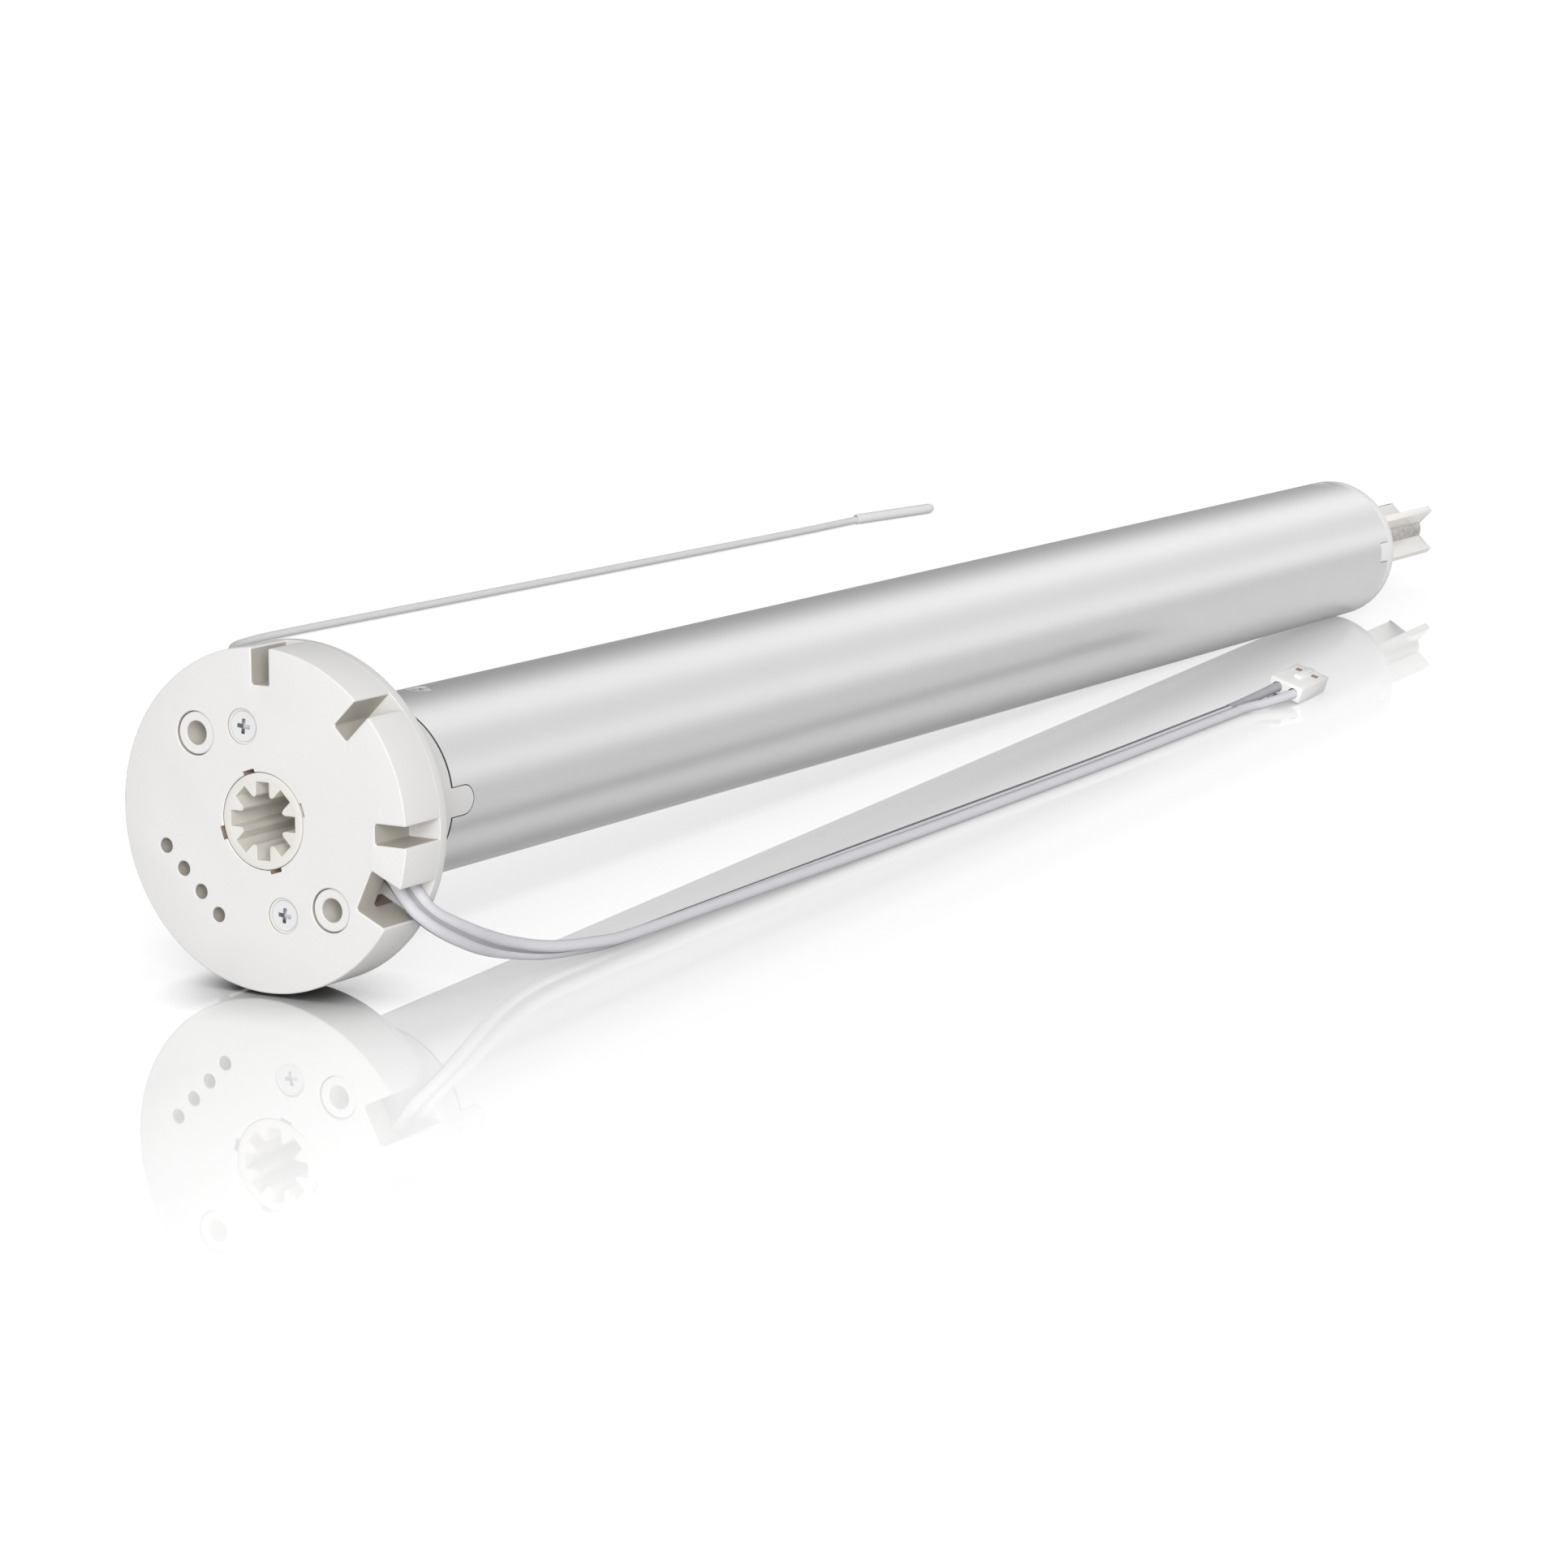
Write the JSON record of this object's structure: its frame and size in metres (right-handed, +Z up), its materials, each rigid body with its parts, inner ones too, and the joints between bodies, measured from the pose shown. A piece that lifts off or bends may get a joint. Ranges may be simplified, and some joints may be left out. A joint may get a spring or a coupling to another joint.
{
  "type": "tubular roller blind motor",
  "caption": "Slim round tube motor with a slotted disc head, splined bracket socket and cross-shaped output shaft that winds a roller blind.",
  "frame": {"origin": "centre of the head's front face, on the motor's axis, in the middle of the two bracket screw posts", "axes": "+Z up from the surface that the motor lies on, +X along the motor towards its output shaft, which dips by the lean of the motor as it rests on its head's rim and its tube's end, +Y to the left seen from the head"},
  "size_m": [0.4628, 0.2228, 0.0502],
  "materials": {
    "head_plastic": "finely textured moulding",
    "socket_plastic": "smooth moulding",
    "screw_zinc": "bright zinc plate",
    "clamp_plastic": "smooth moulding",
    "tube_aluminium": "satin anodised",
    "cast_alloy": "as cast zinc alloy",
    "sintered_bronze": "sintered",
    "washer_plastic": "smooth",
    "machined_steel": "turned",
    "spring_steel": "drawn wire",
    "gear_plastic": "smooth acetal",
    "dark_plastic": "fine texture",
    "ferrite": "ground ferrite and carbon",
    "damper_rubber": "matt",
    "copper": "enamelled and bare copper",
    "board_laminate": "solder resist",
    "cradle_plastic": "smooth moulding",
    "capacitor_sleeve": "shrunk sleeve",
    "shield_tin": "tin plate",
    "lead_jacket": "soft vinyl",
    "plug_nylon": "natural nylon",
    "contact_brass": "tinned brass",
    "antenna_jacket": "soft vinyl"
  },
  "bodies": {
    "fixed": {"head_cover": "head_plastic", "head_body": "head_plastic", "spline_socket": "socket_plastic", "head_screws": "screw_zinc", "cable_clamp": "clamp_plastic", "housing_tube": "tube_aluminium", "tube_screws": "screw_zinc", "drive_end_ring": "head_plastic", "output_bush": "sintered_bronze", "thrust_washer": "washer_plastic", "gear_case": "machined_steel", "gearbox_plate": "machined_steel", "brake_drum": "machined_steel", "motor_can": "machined_steel", "motor_magnets": "ferrite", "motor_end_cap": "dark_plastic", "motor_brushes": "ferrite", "motor_bearings": "sintered_bronze", "motor_dampers": "damper_rubber", "sensor_board": "board_laminate", "board_cradle": "cradle_plastic", "circuit_board": "board_laminate", "board_chips": "dark_plastic", "board_capacitors": "capacitor_sleeve", "radio_shield": "shield_tin", "board_terminals": "cradle_plastic", "inner_wires": "lead_jacket", "power_lead": "lead_jacket", "lead_wires": "lead_jacket", "plug_housing": "plug_nylon", "plug_contacts": "contact_brass", "antenna_lead": "antenna_jacket", "antenna_sleeve": "antenna_jacket"},
    "rotor": {"rotor_shaft": "machined_steel", "armature_core": "machined_steel", "armature_windings": "copper", "commutator": "copper", "encoder_magnet": "ferrite", "brake_hub": "dark_plastic", "brake_spring": "spring_steel", "sun_gear_1": "sintered_bronze"},
    "stage_1_carrier": {"carrier_1": "gear_plastic", "planet_pins_1": "machined_steel", "sun_gear_2": "gear_plastic"},
    "stage_2_carrier": {"carrier_2": "machined_steel", "planet_pins_2": "machined_steel", "sun_gear_3": "gear_plastic"},
    "output": {"output_carrier": "machined_steel", "planet_pins_3": "machined_steel", "output_shaft": "cast_alloy"},
    "planet_1_a": {"planet_1_a": "gear_plastic"},
    "planet_1_b": {"planet_1_b": "gear_plastic"},
    "planet_1_c": {"planet_1_c": "gear_plastic"},
    "planet_2_a": {"planet_2_a": "gear_plastic"},
    "planet_2_b": {"planet_2_b": "gear_plastic"},
    "planet_2_c": {"planet_2_c": "gear_plastic"},
    "planet_3_a": {"planet_3_a": "gear_plastic"},
    "planet_3_b": {"planet_3_b": "gear_plastic"},
    "planet_3_c": {"planet_3_c": "gear_plastic"}
  },
  "joints": [
    {"name": "stage_2_spin", "type": "hinge", "parent": "fixed", "child": "stage_2_carrier", "pos_m": [0.32739, 0, -0.01009], "axis": [0.9995, 0, -0.0308], "continuous": true},
    {"name": "output_spin", "type": "hinge", "parent": "fixed", "child": "output", "pos_m": [0.34644, 0, -0.01067], "axis": [0.9995, 0, -0.0308], "continuous": true},
    {"name": "stage_1_spin", "type": "hinge", "parent": "fixed", "child": "stage_1_carrier", "pos_m": [0.3142, 0, -0.00968], "axis": [0.9995, 0, -0.0308], "continuous": true},
    {"name": "rotor_spin", "type": "hinge", "parent": "fixed", "child": "rotor", "pos_m": [0.3049, 0, -0.00939], "axis": [0.9995, 0, -0.0308], "continuous": true},
    {"name": "planet_1_a_spin", "type": "hinge", "parent": "stage_1_carrier", "child": "planet_1_a", "pos_m": [0.30818, 0, -0.01669], "axis": [0.9995, 0, -0.0308], "continuous": true},
    {"name": "planet_1_b_spin", "type": "hinge", "parent": "stage_1_carrier", "child": "planet_1_b", "pos_m": [0.30851, 0.00623, -0.0059], "axis": [0.9995, 0, -0.0308], "continuous": true},
    {"name": "planet_1_c_spin", "type": "hinge", "parent": "stage_1_carrier", "child": "planet_1_c", "pos_m": [0.30851, -0.00623, -0.0059], "axis": [0.9995, 0, -0.0308], "continuous": true},
    {"name": "planet_2_a_spin", "type": "hinge", "parent": "stage_2_carrier", "child": "planet_2_a", "pos_m": [0.32088, 0, -0.01708], "axis": [0.9995, 0, -0.0308], "continuous": true},
    {"name": "planet_2_b_spin", "type": "hinge", "parent": "stage_2_carrier", "child": "planet_2_b", "pos_m": [0.32121, 0.00623, -0.00629], "axis": [0.9995, 0, -0.0308], "continuous": true},
    {"name": "planet_2_c_spin", "type": "hinge", "parent": "stage_2_carrier", "child": "planet_2_c", "pos_m": [0.32121, -0.00623, -0.00629], "axis": [0.9995, 0, -0.0308], "continuous": true},
    {"name": "planet_3_a_spin", "type": "hinge", "parent": "output", "child": "planet_3_a", "pos_m": [0.33557, 0, -0.01754], "axis": [0.9995, 0, -0.0308], "continuous": true},
    {"name": "planet_3_b_spin", "type": "hinge", "parent": "output", "child": "planet_3_b", "pos_m": [0.3359, 0.00623, -0.00675], "axis": [0.9995, 0, -0.0308], "continuous": true},
    {"name": "planet_3_c_spin", "type": "hinge", "parent": "output", "child": "planet_3_c", "pos_m": [0.3359, -0.00623, -0.00675], "axis": [0.9995, 0, -0.0308], "continuous": true}
  ],
  "couplings": [
    {"joint": "output_spin", "follows": "stage_2_spin", "ratio": 0.25},
    {"joint": "stage_1_spin", "follows": "stage_2_spin", "ratio": 4},
    {"joint": "rotor_spin", "follows": "stage_2_spin", "ratio": 16},
    {"joint": "planet_1_a_spin", "follows": "stage_2_spin", "ratio": -12},
    {"joint": "planet_1_b_spin", "follows": "stage_2_spin", "ratio": -12},
    {"joint": "planet_1_c_spin", "follows": "stage_2_spin", "ratio": -12},
    {"joint": "planet_2_a_spin", "follows": "stage_2_spin", "ratio": -3},
    {"joint": "planet_2_b_spin", "follows": "stage_2_spin", "ratio": -3},
    {"joint": "planet_2_c_spin", "follows": "stage_2_spin", "ratio": -3},
    {"joint": "planet_3_a_spin", "follows": "stage_2_spin", "ratio": -0.75},
    {"joint": "planet_3_b_spin", "follows": "stage_2_spin", "ratio": -0.75},
    {"joint": "planet_3_c_spin", "follows": "stage_2_spin", "ratio": -0.75}
  ]
}
